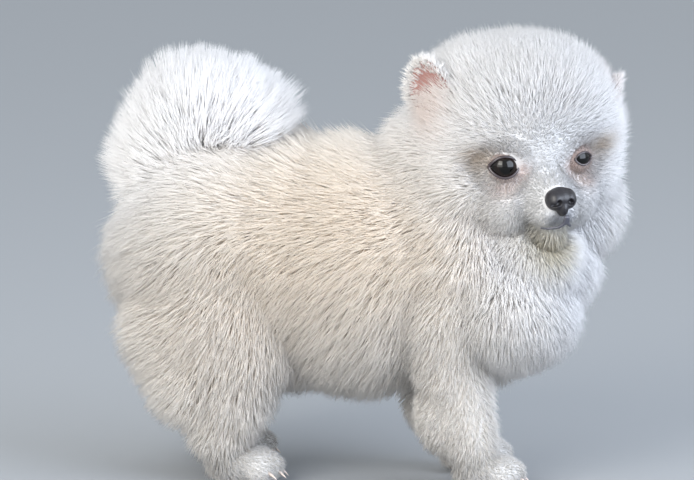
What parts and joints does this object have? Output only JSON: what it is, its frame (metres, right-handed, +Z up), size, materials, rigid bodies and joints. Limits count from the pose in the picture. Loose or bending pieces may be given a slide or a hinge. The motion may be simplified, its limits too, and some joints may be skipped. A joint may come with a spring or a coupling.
{
  "type": "pomeranian puppy",
  "caption": "Standing fluffy white toy spitz puppy with its head turned to its right and its plumed tail curled over its back; stands on four paws.",
  "frame": {"origin": "on the floor under the middle of the puppy's bounding box", "axes": "+X towards the puppy's chest, +Y towards its left side, +Z up"},
  "size_m": [0.23, 0.1096, 0.2055],
  "materials": {
    "long_coat": "long soft white fur with a cream tint",
    "face_coat": "short plush white fur",
    "leg_coat": "soft white fur",
    "paw": "short white fur with pale claws",
    "ear": "short white fur outside, thin pink skin inside",
    "eye": "wet and glossy, very dark brown",
    "nose_leather": "moist black leather"
  },
  "bodies": {
    "root": {"head": "face_coat", "lower_jaw": "face_coat", "nose": "nose_leather", "eye_left": "eye", "eye_right": "eye", "ear_left": "ear", "ear_right": "ear", "neck": "long_coat", "torso": "long_coat", "tail": "long_coat", "foreleg_left": "leg_coat", "foreleg_right": "leg_coat", "forepaw_left": "paw", "forepaw_right": "paw", "hindleg_left": "leg_coat", "hindleg_right": "leg_coat", "hindpaw_left": "paw", "hindpaw_right": "paw"}
  },
  "joints": []
}
